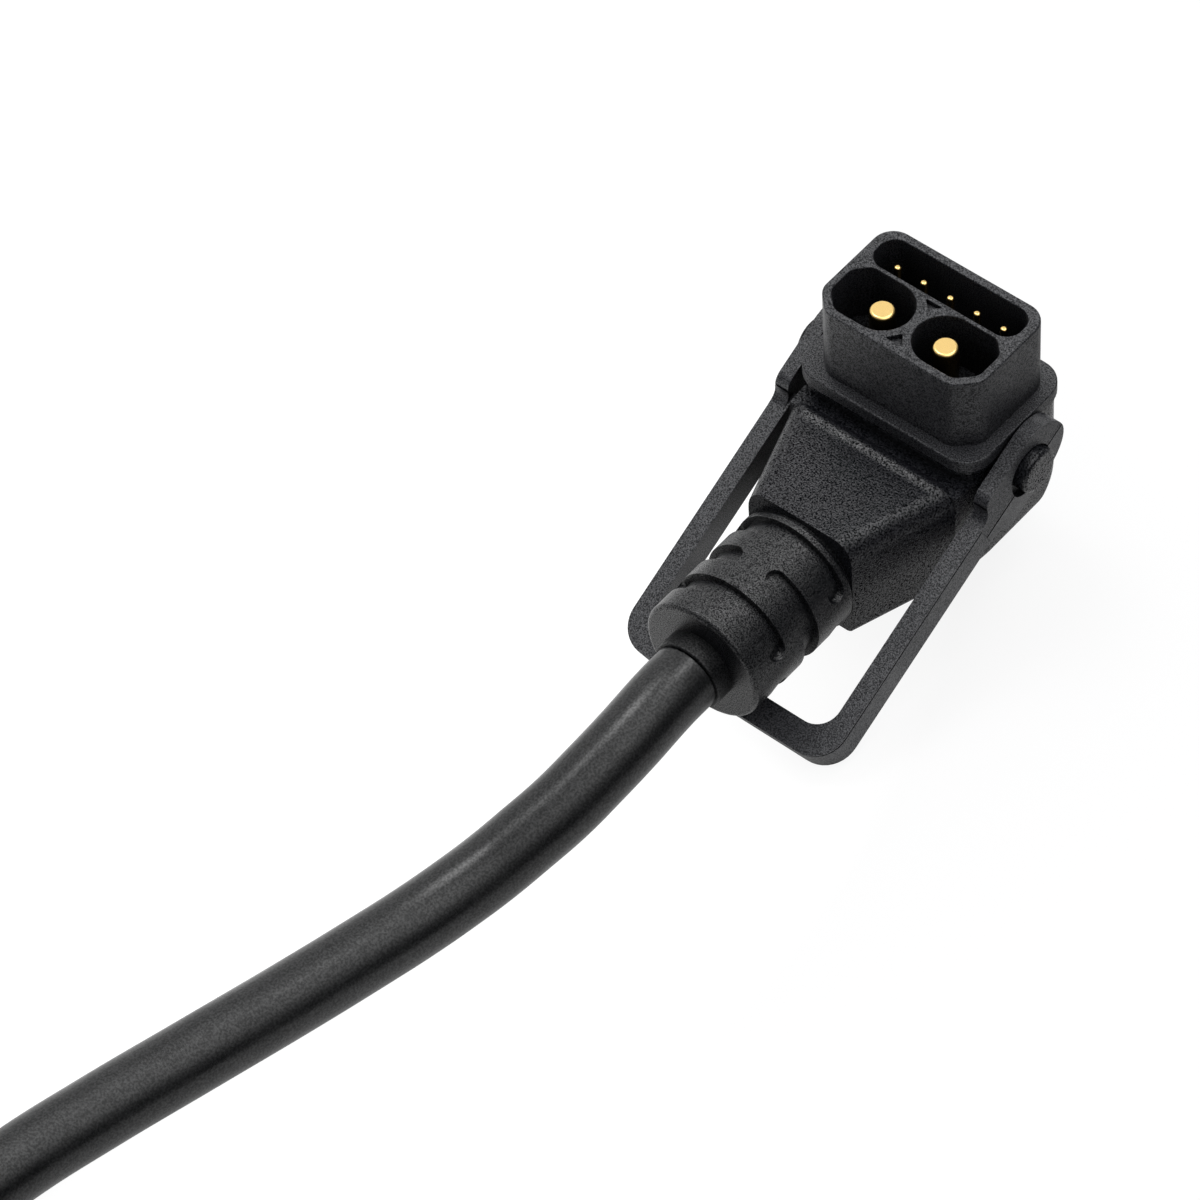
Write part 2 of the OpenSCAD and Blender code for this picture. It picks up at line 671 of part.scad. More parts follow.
// Side view of a hub: x towards the grip, y towards the handle's upper face
module hub_outline() {
    middle = hub_half - hub_reach;
    corner_x = hub_tail - hub_step_r;
    arm = arm_d / 2;
    translate([middle, 0]) circle(r = hub_half);
    translate([middle, -hub_half]) square([corner_x - middle, 2 * hub_half]);
    translate([middle, hub_step_r - hub_half]) square([hub_tail - middle, 2 * (hub_half - hub_step_r)]);
    for (side = [-1, 1]) {
        translate([corner_x, side * (hub_half - hub_step_r)]) circle(r = hub_step_r);
        difference() {
            translate([hub_tail - over, side * (arm + hub_step_r / 2) - hub_step_r / 2])
                square([hub_step_r + over, hub_step_r]);
            translate([hub_tail + hub_step_r, side * (arm + hub_step_r)]) circle(r = hub_step_r);
        }
    }
    translate([middle, -arm]) square([hub_tail + hub_step_r - middle, arm_d]);
}

// Stands a side view up so that it is extruded from the right hub's outside inwards
module from_right_side(x) {
    translate([x, 0, 0]) rotate([90, 0, -90]) children();
}

// Hub with drafted outer faces that meet at a mould line
module hub() {
    edge_x = hub_outer - hub_draft;
    intersection() {
        from_right_side(hub_outer) linear_extrude(hub_t) hub_outline();
        rotate([90, 0, 0]) linear_extrude(4 * hub_tail, center = true)
            polygon([
                [0, -hub_half - over], [edge_x, -hub_half - over], [edge_x, -hub_half], [hub_outer, 0],
                [edge_x, hub_half], [edge_x, hub_half + over], [0, hub_half + over]
            ]);
    }
}

// The eye on the trunnion, its relief and the mould line across the hub
module hub_cuts() {
    eye_r = trunnion_d / 2 + eye_clearance;
    from_right_side(hub_outer + over) {
        cylinder(h = hub_t + 2 * over, r = eye_r);
        translate([eye_relief_shift, 0, 0]) cylinder(h = eye_relief_depth + over, r = eye_r + eye_relief);
    }
    translate([hub_outer - seam_depth, -hub_tail - hub_step_r, -seam_w / 2])
        cube([seam_depth + over, hub_tail + hub_step_r + hub_reach + over, seam_w]);
}

// Plan of the handle's bow, with its outline drawn in by a margin
module bow_outline(margin = 0) {
    rounded_outline(handle_w - 2 * margin, margin - handle_l, -arm_start, grip_outer_r, over);
}

// The whole handle in its own frame: axis along X, bow towards -Y
module handle_shape() {
    lip = 0.35;
    difference() {
        translate([0, 0, -arm_d / 2]) linear_extrude(arm_d) difference() {
            bow_outline();
            rounded_outline(handle_w - 2 * arm_t, grip_w - handle_l, over, grip_inner_r, over / 2);
        }
        translate([0, 0, arm_d / 2 - lip - seam_w]) linear_extrude(seam_w) difference() {
            translate([-handle_w, -handle_l - over]) square([2 * handle_w, handle_l - hub_tail - hub_step_r + over]);
            bow_outline(seam_depth);
        }
    }
    on_both_sides() hub();
}

// Pull handle: a stiff bow that swings on the body's trunnions
module pull_handle() {
    color("#303136") translate([0, -pivot_back, -pivot_drop]) rotate([rest_angle, 0, 0]) difference() {
        handle_shape();
        on_both_sides() hub_cuts();
    }
}

// The lead where the boot and the sleeve grip it
module lead_end() {
    color("#17181a") along_lead(-taper_rear + anchor_l)
        cylinder(h = anchor_l + boot_l + exit_sleeve_l, d = lead_d);
}

// Point on the smooth curve through the route, at t from 0 to its last index
function route_point(p, t) =
    let (
        i = min(floor(t), len(p) - 2), u = t - i,
        a = p[max(i - 1, 0)], b = p[i], c = p[i + 1], d = p[min(i + 2, len(p) - 1)]
    )
    0.5 * (2 * b + (c - a) * u + (2 * a - 5 * b + 4 * c - d) * u * u + (3 * b - a - 3 * c + d) * u * u * u);

function unit(v) = v / norm(v);

// Ring of points round the curve at t, square to it
function route_ring(p, t, r, sides) =
    let (
        step = 0.01,
        ahead = t == 0 ? [0, -1, 0] : unit(route_point(p, min(t + step, len(p) - 1)) - route_point(p, t - step)),
        across = unit(cross(ahead, [0, 0, 1])),
        up = cross(across, ahead)
    )
    [for (k = [0:sides - 1]) route_point(p, t) + r * (cos(360 * k / sides) * across + sin(360 * k / sides) * up)];

// Round tube along a route
module swept_tube(p, r, sides) {
    rings = [for (t = [0:len(p) - 1]) route_ring(p, t, r, sides)];
    last = len(rings) - 1;
    polyhedron(
        points = [for (ring = rings, q = ring) q],
        faces = concat(
            [[for (k = [0:sides - 1]) k]],
            [[for (k = [sides - 1:-1:0]) last * sides + k]],
            [for (i = [0:last - 1], k = [0:sides - 1])
                [i * sides + k, (i + 1) * sides + k, (i + 1) * sides + (k + 1) % sides, i * sides + (k + 1) % sides]]
        )
    );
}

// The lead from its sleeve down to the table and on to its coil
module lead_run() {
    color("#17181a") swept_tube(LEAD_ROUTE, lead_r, lead_sides);
}

// Sector of the coil, as one strand or as two strands on each other
module coil_sector(from, to, layers, r) {
    rotate([0, 0, from]) rotate_extrude(angle = to - from) translate([coil_r, 0]) {
        for (layer = [0:layers - 1]) translate([0, layer * lead_d]) circle(r = r);
        if (layers > 1) translate([-r, 0]) square([2 * r, (layers - 1) * lead_d]);
    }
}

// Outer shape of the coil: one strand where the lead climbs, two strands elsewhere
module lead_coil() {
    color("#17181a") translate(coil_middle) {
        coil_sector(coil_climb_end, coil_end_angle, 2, lead_r);
        coil_sector(coil_end_angle - 360 - over, coil_climb_end + over, 1, lead_r - slip);
    }
}

// A stripped core that leaves the lead's cut end along the coil's curve
module core_end(shift, lift, d) {
    translate(coil_middle + [0, 0, lead_d + lift]) rotate([0, 0, coil_end_angle])
        rotate_extrude(angle = core_end_angle) translate([coil_r + core_end_shift + shift, 0]) circle(d = d);
}

module power_core(side) {
    core_end(side * power_wire_d / 2, 0, power_wire_d - 2 * slip);
}

module signal_cores() {
    color("#d8d8d8") for (i = [0:signal_count - 1])
        core_end((i - (signal_count - 1) / 2) * signal_wire_end_pitch, core_end_lift, signal_wire_d);
}

shroud_housing();
contact_carrier();
body_overmould();
body_core();
strain_relief();
exit_sleeve();
pull_handle();
power_pin(1);  // power_pin_positive
power_pin(-1);  // power_pin_negative
signal_pin(0);  // signal_pin_1
signal_pin(1);  // signal_pin_2
signal_pin(2);  // signal_pin_3
signal_pin(3);  // signal_pin_4
signal_pin(4);  // signal_pin_5
color("#b3261e") power_wire(1);  // power_wire_positive
color("#18191b") power_wire(-1);  // power_wire_negative
color("#d9d9d6") signal_wire(0);  // signal_wire_1
color("#d2a628") signal_wire(1);  // signal_wire_2
color("#2f7d4a") signal_wire(2);  // signal_wire_3
color("#2b5fa8") signal_wire(3);  // signal_wire_4
color("#7a4a2c") signal_wire(4);  // signal_wire_5
color("#b3261e") power_sleeve(1);  // power_sleeve_positive
color("#18191b") power_sleeve(-1);  // power_sleeve_negative
signal_sleeves();
lead_end();
lead_run();
lead_coil();
color("#b3261e") power_core(1);  // power_core_positive
color("#18191b") power_core(-1);  // power_core_negative
signal_cores();
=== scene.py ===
"""Looks of a right-angle battery swap plug: moulded shells, turned contacts and a thick lead.

Shapes are written in millimetres in the part's own frame and turned to metres when a mesh is made.
"""

import math

import bmesh
import bpy
from mathutils import Matrix, Vector


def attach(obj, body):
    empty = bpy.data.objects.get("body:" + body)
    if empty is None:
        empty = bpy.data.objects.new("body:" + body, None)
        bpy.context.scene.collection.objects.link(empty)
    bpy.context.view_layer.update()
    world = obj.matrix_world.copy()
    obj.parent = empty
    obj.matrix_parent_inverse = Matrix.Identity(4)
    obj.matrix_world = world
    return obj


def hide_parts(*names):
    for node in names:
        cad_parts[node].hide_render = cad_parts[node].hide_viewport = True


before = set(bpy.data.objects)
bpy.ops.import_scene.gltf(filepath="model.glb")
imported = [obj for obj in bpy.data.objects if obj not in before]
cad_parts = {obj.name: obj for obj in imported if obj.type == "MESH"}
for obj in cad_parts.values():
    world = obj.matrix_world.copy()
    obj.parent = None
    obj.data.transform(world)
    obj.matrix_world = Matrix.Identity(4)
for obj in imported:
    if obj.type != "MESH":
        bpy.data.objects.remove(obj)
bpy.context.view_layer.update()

MM = 0.001

# Camera: the photograph's viewing angle and framing
VIEW_AZIMUTH = 43.4
VIEW_ELEVATION = 51.3
VIEW_ROLL = -4.4
VIEW_TARGET = (-23.7, -58.9, -21.3)
VIEW_DISTANCE = 1000
LENS = 179.9
SENSOR = 36

# Nose, flange and chambers
NOSE_W = 33.8
NOSE_POWER_SIDE = 11.1
NOSE_SIGNAL_SIDE = 10.9
NOSE_H = 15.6
NOSE_POWER_R = 6.6
NOSE_SIGNAL_R = 4
CHAMBER_FLOOR = 3.6
POWER_CHAMBER = (0.95, 15.45, -9.55, 1.55)
POWER_CHAMBER_R = (5.2, 4.2)
SIGNAL_CHAMBER = (-15, 15, 2.35, 9.25)
SIGNAL_CHAMBER_R = (3, 3)
POCKETS = ((1.45, -0.15), (-9.3, -7))
POCKET_HALF = 1.75
POCKET_DEPTH = 1
POCKET_CORNER_R = 0.12
POCKET_EDGE = 0.1
RIM_EDGE = 0.35
MOUTH_EDGE = 0.25
FLANGE = (38.4, 26.6, 5)
FLANGE_T = 2.5
FLANGE_TOP_EDGE = 0.3
FLANGE_BASE_EDGE = 0.15
LIP_T = 0.8
LIP_INSET = 0.2

# Contacts
POWER_X = 6.6
POWER_Y = -4
POWER_R = 2.25
POWER_TIP = 14.4
POWER_TIP_R = 0.6
SIGNAL_PITCH = 5.56
SIGNAL_Y = 5.8
SIGNAL_R = 0.65
SIGNAL_TIP = 13.2
SIGNAL_TIP_R = 0.4
SIGNAL_COUNT = 5

# Body
TRUNK = (37.2, -12, 12.9, 4.5)
BODY_TOP = -5.1
BODY_BASE = -27.7
BASE_R = 1.6
HEEL_R = 9
TAPER_FRONT = -15.6
TAPER_REAR = -34.8
TAPER_FRONT_HALF = 17.5
TAPER_REAR_HALF = 11
CREST_W = 3.6
CREST_H = 5.4
CREST_FRONT = 2.4
VALLEY = -6.2
VALLEY_END = -7.5
VALLEY_END_HALF = 18.1
# The taper's top sinks this far, over this width behind its front ridge
TOP_SINK = 0.36
TOP_SINK_W = 2.1
BODY_EDGE = 0.3

# Boot and sleeve
LEAD_Z = -17.4
BOOT_R = 11.8
BOOT_L = 26.2
BOOT_END_R = 0.9
SLOT_EDGE = 0.2
SLEEVE_END_R = 0.5
NECK_L = 0.8
NECK_R = 10.9
NECK_EDGE = 0.4
SLOT_W = 3.8
SLOT_DEPTH = 1.3
SLOT_ROWS = (4.1, 11.8, 19.5)
SLOT_BRIDGE = 14
SLEEVE_R = 6.7
SLEEVE_L = 3.7

# Handle, in its own frame: axis along X, bow towards -Y
PIVOT = (0, -1.4, -7.3)
REST_ANGLE = 26.82
BOW_HALF = 22.65
ARM_T = 3.4
ARM_HALF_D = 3.1
BOW_END = 61
GRIP_W = 5
GRIP_OUTER_R = 6
GRIP_INNER_R = 4.4
HUB_OUTER = 22.9
HUB_T = 3.2
HUB_HALF = 7
HUB_REACH = 8.8
HUB_TAIL = 10.8
HUB_DRAFT = 0.5
HUB_STEP_R = 2.5
TRUNNION_R = 4.2
TRUNNION_END = 24.4
TRUNNION_EDGE = 0.7
EYE_R = 4.25
EYE_RELIEF_R = 5.05
EYE_RELIEF_SHIFT = 0.6
EYE_RELIEF_DEPTH = 1.5
BOSS_R = 6
BOSS_END = 19.4
BOSS_EDGE = 0.15
BOSS_START = 17.5
HANDLE_EDGE = 0.28
SEAM_W = 0.4
SEAM_DEPTH = 0.3
SEAM_BELOW_TOP = 0.35

# Lead: the route that the part's source gives, then a coil of two layers
LEAD_R = 6.2
TABLE_Z = -37.59
LEAD_LOW = -31.39
LEAD_ROUTE = [
    (0, -64.7, -17.4), (0, -70, -17.5), (-0.2, -80, -19.2), (-1, -87, -21.3), (-2.2, -94.5, -23.8),
    (-4, -101.5, -26.2), (-6, -108.5, -28.6), (-8, -115.5, -30.2), (-10, -123, -31.15), (-12, -131, LEAD_LOW),
    (-15.5, -145, LEAD_LOW), (-20.5, -163.5, LEAD_LOW), (-25.5, -182, LEAD_LOW), (-29, -197, LEAD_LOW),
    (-31, -212, LEAD_LOW), (-31.5, -227, LEAD_LOW), (-31.5, -242, LEAD_LOW), (-31.5, -261, LEAD_LOW),
]
COIL_AT = (31, -261)
COIL_R = 62.5
COIL_START = 180
COIL_TURN = 554
COIL_CLIMB = (240, 335)
CORE_L = 34
# How much of each stripped core is still insulated
INSULATED_SHARE = 0.8
CORE_SHIFT = -0.8
POWER_CORE_R = 1.95
SIGNAL_CORE_R = 0.55
CORE_LIFT = 2.8

# Points closer than this are one point
MERGE = 0.0005
# A cut corner starts at this share of the radius of the round that it stands for
CORNER_CUT = 0.586


# Meshes


def outline(corners, grow=0.0, steps=6):
    """Points round a closed outline of (x, y, radius) corners, moved outwards by grow."""
    points = []
    count = len(corners)
    for i, (x, y, r) in enumerate(corners):
        before = Vector((x, y)) - Vector(corners[i - 1][:2])
        after = Vector(corners[(i + 1) % count][:2]) - Vector((x, y))
        before.normalize()
        after.normalize()
        turn = math.atan2(before.cross(after), before.dot(after))
        side = 1 if turn >= 0 else -1
        inward = Vector((-before.y, before.x)) * side
        inward_next = Vector((-after.y, after.x)) * side
        centre = Vector((x, y)) + (inward + inward_next) * r / (1 + inward.dot(inward_next))
        start = math.atan2(-inward.y, -inward.x)
        for k in range(steps + 1):
            angle = start + turn * k / steps
            reach = r + grow * side
            points.append((centre.x + reach * math.cos(angle), centre.y + reach * math.sin(angle)))
    return points


def cut_corner(x, y, r, step_x, step_y):
    """Two rounded corners in place of one at (x, y), cut off about as far as a round of radius r would be."""
    leg = r * CORNER_CUT
    return [(x, y + step_y * leg, r * 0.5), (x + step_x * leg, y, r * 0.5)]


def rectangle(low_x, high_x, low_y, high_y, r_low, r_high):
    return [(high_x, low_y, r_low), (high_x, high_y, r_high), (low_x, high_y, r_high), (low_x, low_y, r_low)]


def rounding(edge, r, inwards, steps=4):
    """(height, grow) pairs from a wall to a flat end at edge; inwards is -1 at a top and 1 at a base."""
    pairs = []
    for k in range(steps + 1):
        angle = math.pi / 2 * k / steps
        pairs.append((edge + inwards * r * (1 - math.sin(angle)), -r * (1 - math.cos(angle))))
    return pairs


def skin(rings, cap=True):
    """Vertices and faces of a closed skin over rings that have equally many points."""
    verts = [tuple(p) for ring in rings for p in ring]
    n = len(rings[0])
    faces = []
    for i in range(len(rings) - 1):
        for k in range(n):
            a, b = i * n + k, i * n + (k + 1) % n
            faces.append((a, b, b + n, a + n))
    if cap:
        faces.append(tuple(range(n))[::-1])
        faces.append(tuple(range((len(rings) - 1) * n, len(rings) * n)))
    return verts, faces


def prism(corners, levels, steps=6):
    """An outline raised through (height, grow) levels."""
    return skin([[(x, y, z) for x, y in outline(corners, grow, steps)] for z, grow in levels])


def lathe(profile, sides=96, closed=False):
    """(radius, height) points turned about Z; a closed profile makes a ring."""
    turns = [2 * math.pi * k / sides for k in range(sides)]
    rings = [[(r * math.cos(a), r * math.sin(a), z) for a in turns] for r, z in profile]
    if closed:
        return skin(rings + rings[:1], cap=False)
    return skin(rings)


def moved(part, matrix):
    verts, faces = part
    return [tuple(matrix @ Vector(v)) for v in verts], faces


def new_piece(name, *parts):
    """An object made of the parts, with doubled points merged and its faces turned outwards."""
    mesh = bpy.data.meshes.new(name)
    shape = bmesh.new()
    for verts, faces in parts:
        made = [shape.verts.new(v) for v in verts]
        for face in faces:
            shape.faces.new([made[i] for i in face])
    bmesh.ops.remove_doubles(shape, verts=shape.verts, dist=MERGE)
    bmesh.ops.dissolve_degenerate(shape, edges=shape.edges, dist=MERGE)
    bmesh.ops.recalc_face_normals(shape, faces=shape.faces)
    bmesh.ops.scale(shape, vec=(MM, MM, MM), verts=shape.verts)
    shape.to_mesh(mesh)
    shape.free()
    item = bpy.data.objects.new(name, mesh)
    bpy.context.scene.collection.objects.link(item)
    return item


def settle(item):
    """Applies the object's modifiers to its mesh."""
    depsgraph = bpy.context.evaluated_depsgraph_get()
    mesh = bpy.data.meshes.new_from_object(item.evaluated_get(depsgraph))
    item.modifiers.clear()
    item.data = mesh


def combine(item, others, operation):
    """Joins the others to the object or cuts them out of it, and removes them."""
    for other in others:
        step = item.modifiers.new("combine", "BOOLEAN")
        step.operation = operation
        step.solver = "EXACT"
        step.object = other
    settle(item)
    for other in others:
        bpy.data.objects.remove(other)


def soften(item, width, segments=3, angle=38):
    """Rounds the edges that are sharper than the angle, and clears the slivers that this leaves."""
    step = item.modifiers.new("soften", "BEVEL")
    step.limit_method = "ANGLE"
    step.angle_limit = math.radians(angle)
    step.width = width * MM
    step.segments = segments
    step.miter_outer = "MITER_ARC"
    settle(item)
    shape = bmesh.new()
    shape.from_mesh(item.data)
    bmesh.ops.remove_doubles(shape, verts=shape.verts, dist=0.002 * MM)
    bmesh.ops.dissolve_degenerate(shape, edges=shape.edges, dist=0.002 * MM)
    shape.to_mesh(item.data)
    shape.free()


def dress(item, body, slot_name, finish, *nodes):
    """Smooths the piece, gives it its finish, ties it to its body and hides the nodes that it stands in for.
    """
    mesh = item.data
    mesh.polygons.foreach_set("use_smooth", [True] * len(mesh.polygons))
    mesh.set_sharp_from_angle(angle=math.radians(42))
    step = item.modifiers.new("even_shading", "WEIGHTED_NORMAL")
    step.keep_sharp = True
    settle(item)
    item.data.materials.clear()
    item.data.materials.append(finish)
    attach(item, body)
    if nodes:
        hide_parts(*nodes)


# Materials


def linear(hexcode):
    """Linear colour from an sRGB hex value."""
    values = []
    for i in (1, 3, 5):
        value = int(hexcode[i:i + 2], 16) / 255
        values.append(value / 12.92 if value <= 0.04045 else ((value + 0.055) / 1.055) ** 2.4)
    return (*values, 1)


def add(tree, kind, sockets=None, **settings):
    """Adds a node, with its settings and with values or links on its sockets."""
    item = tree.nodes.new(kind)
    for name, value in settings.items():
        setattr(item, name, value)
    for name, value in (sockets or {}).items():
        if isinstance(value, bpy.types.NodeSocket):
            tree.links.new(value, item.inputs[name])
        else:
            item.inputs[name].default_value = value
    return item


def new_material(name):
    material = bpy.data.materials.new(name)
    material.use_nodes = True
    tree = material.node_tree
    tree.nodes.clear()
    return material, tree


def close(tree, shader):
    add(tree, "ShaderNodeOutputMaterial", {"Surface": shader.outputs[0]})


def per_mm(size):
    """Noise scale for a pattern whose grains are this many millimetres wide."""
    return 1 / (size * MM)


# Grain: the noise values at which its hollows end and its peaks begin
GRAIN_HOLLOW = 0.4
GRAIN_PEAK = 0.62
# Width in mm of the broad patches in which the gloss wanders
GLOSS_PATCH = 9
# How far in mm a surface looks for walls that keep light from it; the shade they cast is painted into its
# colour
PLASTIC_PAINTED_SHADE_REACH = 12
METAL_PAINTED_SHADE_REACH = 9
# Distance in mm between the rings that a turning tool leaves, drawn coarser than real so that they show
TOOL_RING = 0.6


def moulded(name, low, high, grain, height, roughness, spread, shine=(0.3, 0.7), painted_recess_level=0.15):
    """Moulded plastic with a spark-eroded grain.

    low and high are the colours of its hollows and peaks, grain and height the size of the grain in mm,
    shine is how strongly its hollows and its peaks mirror, and the last argument is how light the painted
    shade
    leaves its deepest recess: where walls stand close, its colour and its mirroring are darkened as painted
    shade.
    """
    material, tree = new_material(name)
    place = add(tree, "ShaderNodeTexCoord").outputs["Object"]
    fine = add(
        tree, "ShaderNodeTexNoise",
        {"Vector": place, "Scale": per_mm(grain), "Detail": 3.0, "Roughness": 0.6},
    )
    broad = add(tree, "ShaderNodeTexNoise", {"Vector": place, "Scale": per_mm(GLOSS_PATCH), "Detail": 2.0})
    peaks = add(
        tree, "ShaderNodeMapRange",
        {"Value": fine.outputs["Fac"], "From Min": GRAIN_HOLLOW, "From Max": GRAIN_PEAK},
    )
    tone = add(
        tree, "ShaderNodeMix",
        {"Factor": peaks.outputs["Result"], "A": linear(low), "B": linear(high)}, data_type="RGBA",
    )
    rough = add(
        tree, "ShaderNodeMapRange",
        {
            "Value": broad.outputs["Fac"], "From Min": 0.3, "From Max": 0.7,
            "To Min": roughness - spread, "To Max": roughness + spread,
        },
    )
    mirror = add(
        tree, "ShaderNodeMapRange",
        {
            "Value": fine.outputs["Fac"], "From Min": GRAIN_HOLLOW, "From Max": GRAIN_PEAK,
            "To Min": shine[0], "To Max": shine[1],
        },
    )
    bump = add(
        tree, "ShaderNodeBump",
        {"Height": fine.outputs["Fac"], "Strength": 1.0, "Distance": height * MM},
    )
    # Painted shade: where walls stand close, the grain's colour goes towards black
    painted_shade_occlusion = add(tree, "ShaderNodeAmbientOcclusion", {"Distance": PLASTIC_PAINTED_SHADE_REACH * MM}, samples=4)
    clear = add(
        tree, "ShaderNodeMapRange",
        {
            "Value": painted_shade_occlusion.outputs["AO"], "From Min": 0.1, "From Max": 0.5,
            "To Min": painted_recess_level, "To Max": 1.0,
        },
    )
    grain_with_painted_shade = add(
        tree, "ShaderNodeMix",
        {"Factor": clear.outputs["Result"], "A": (0, 0, 0, 1), "B": tone.outputs["Result"]}, data_type="RGBA",
    )
    # The mirroring is dimmed by the same painted shade
    level = add(
        tree, "ShaderNodeMath",
        {0: mirror.outputs["Result"], 1: clear.outputs["Result"]}, operation="MULTIPLY",
    )
    shader = add(
        tree, "ShaderNodeBsdfPrincipled",
        {
            "Base Color": grain_with_painted_shade.outputs["Result"], "Roughness": rough.outputs["Result"],
            "Normal": bump.outputs["Normal"], "IOR": 1.5, "Specular IOR Level": level.outputs[0],
        },
    )
    close(tree, shader)
    return material


def metal(name, colour, roughness):
    """Plated or bare turned metal, with fine rings left by the tool."""
    material, tree = new_material(name)
    place = add(tree, "ShaderNodeTexCoord").outputs["Object"]
    rings = add(
        tree, "ShaderNodeTexWave",
        {"Vector": place, "Scale": per_mm(TOOL_RING), "Distortion": 2.0, "Detail": 2.0}, bands_direction="Z",
    )
    rough = add(
        tree, "ShaderNodeMapRange",
        {"Value": rings.outputs["Fac"], "To Min": roughness - 0.05, "To Max": roughness + 0.05},
    )
    bump = add(tree, "ShaderNodeBump", {"Height": rings.outputs["Fac"], "Distance": 0.002 * MM})
    # Painted shade: where walls stand close, the metal's colour goes towards black
    painted_shade_occlusion = add(tree, "ShaderNodeAmbientOcclusion", {"Distance": METAL_PAINTED_SHADE_REACH * MM}, samples=4)
    clear = add(
        tree, "ShaderNodeMapRange",
        {"Value": painted_shade_occlusion.outputs["AO"], "From Min": 0.1, "From Max": 0.4, "To Min": 0.06, "To Max": 1.0},
    )
    tone = add(
        tree, "ShaderNodeMix",
        {"Factor": clear.outputs["Result"], "A": (0, 0, 0, 1), "B": linear(colour)}, data_type="RGBA",
    )
    shader = add(
        tree, "ShaderNodeBsdfPrincipled",
        {
            "Base Color": tone.outputs["Result"], "Metallic": 1.0, "Roughness": rough.outputs["Result"],
            "Normal": bump.outputs["Normal"],
        },
    )
    close(tree, shader)
    return material


# Real spark-eroded grain is finer than 0.1 mm. It is drawn at 0.25 to 0.3 mm here so that it shows.
# Glass-filled nylon 66, moulded in a spark-eroded tool: a dull charcoal with a faint sparkle of grain
nylon = moulded("glass_filled_nylon", "#0d0e10", "#2b2c31", 0.25, 0.05, 0.48, 0.05, (0.1, 0.9))
# The handle is the same nylon, drawn a shade lighter and glossier all over
handle_nylon = moulded("handle_nylon", "#101114", "#303136", 0.25, 0.05, 0.44, 0.06, (0.2, 1.0))
# Thermoplastic elastomer over the body: blacker and smoother, so its grain glitters along the roundings
body_tpe = moulded("body_elastomer", "#040507", "#242529", 0.3, 0.07, 0.24, 0.03, (0.0, 0.6), 1.0)
# Boot of softer elastomer from the same kind of tool
boot_tpe = moulded("boot_elastomer", "#060709", "#151619", 0.25, 0.07, 0.28, 0.04, (0.05, 0.8), 0.5)
# Sleeve of the same elastomer from a polished part of the tool, nearly black
sleeve_tpe = moulded("sleeve_elastomer", "#040506", "#0e0f11", 0.3, 0.01, 0.42, 0.04, (0.1, 0.4))
# Extruded PVC jacket: smooth and satin, with a fine drag from the die that is drawn coarse enough to show
pvc = moulded("pvc_jacket", "#040506", "#0c0d0f", 0.4, 0.008, 0.3, 0.05, (0.3, 0.55))
# Bare core and carrier mouldings inside
inner_nylon = moulded("inner_nylon", "#26272a", "#36373b", 0.3, 0.01, 0.55, 0.05)
# Gold plating on turned copper alloy: warm and bright, slightly brushed by mating
gold = metal("gold_plate", "#e8c680", 0.22)
# Bare copper strands at the stripped ends
copper = metal("copper_strands", "#c9825a", 0.35)
# Wire insulation in the usual colours, extruded PVC with a soft gloss
INSULATION = {
    "wire_red": ("#8e1b17", "#a8241e"),
    "wire_black": ("#101113", "#1a1b1d"),
    "wire_white": ("#d2d2cd", "#e2e2dd"),
    "wire_yellow": ("#c79a1d", "#d8ab2c"),
    "wire_green": ("#24663b", "#2f7a48"),
    "wire_blue": ("#214b8c", "#2b5aa3"),
    "wire_brown": ("#65391f", "#77472a"),
}
insulation = {
    name: moulded(name, low, high, 0.5, 0.002, 0.38, 0.04) for name, (low, high) in INSULATION.items()
}
# Polyolefin shrink sleeve: a thin satin film
shrink_red = moulded("shrink_red", "#7d1814", "#931f1a", 0.6, 0.004, 0.45, 0.05)
shrink_black = moulded("shrink_black", "#141517", "#1f2023", 0.6, 0.004, 0.45, 0.05)


# Camera


def aim_camera():
    turn = math.radians(VIEW_AZIMUTH)
    rise = math.radians(VIEW_ELEVATION)
    back = Vector((math.sin(turn) * math.cos(rise), -math.cos(turn) * math.cos(rise), math.sin(rise)))
    level = Vector((math.cos(turn), math.sin(turn), 0))
    right = Matrix.Rotation(math.radians(VIEW_ROLL), 3, back) @ level
    up = back.cross(right)
    camera = bpy.data.objects.new("camera", bpy.data.cameras.new("camera"))
    bpy.context.scene.collection.objects.link(camera)
    camera.data.lens = LENS
    camera.data.sensor_width = SENSOR
    camera.data.clip_start = 0.05
    camera.data.clip_end = 20
    place = Matrix((right, up, back)).transposed().to_4x4()
    place.translation = (Vector(VIEW_TARGET) + back * VIEW_DISTANCE) * MM
    camera.matrix_world = place
    bpy.context.scene.camera = camera


aim_camera()


# Lead


def new_curve(name, points, radius, resolution=10):
    """A smooth open curve of round section through the points."""
    data = bpy.data.curves.new(name, "CURVE")
    data.dimensions = "3D"
    data.bevel_depth = radius * MM
    data.bevel_resolution = resolution
    data.use_fill_caps = True
    data.resolution_u = 10
    spline = data.splines.new("BEZIER")
    spline.bezier_points.add(len(points) - 1)
    for knot, point in zip(spline.bezier_points, points):
        knot.co = Vector(point) * MM
        knot.handle_left_type = "AUTO"
        knot.handle_right_type = "AUTO"
    item = bpy.data.objects.new(name, data)
    bpy.context.scene.collection.objects.link(item)
    return item


def coil_point(turn, shift=0.0, lift=0.0):
    """Point on the coil, this many degrees after its start: it climbs from its lower to its upper layer."""
    angle = math.radians(COIL_START + turn)
    start, end = COIL_CLIMB
    climb = min(max((turn - start) / (end - start), 0), 1)
    rise = 2 * LEAD_R * climb * climb * (3 - 2 * climb)
    r = COIL_R + shift
    return (COIL_AT[0] + r * math.cos(angle), COIL_AT[1] + r * math.sin(angle), LEAD_LOW + rise + lift)


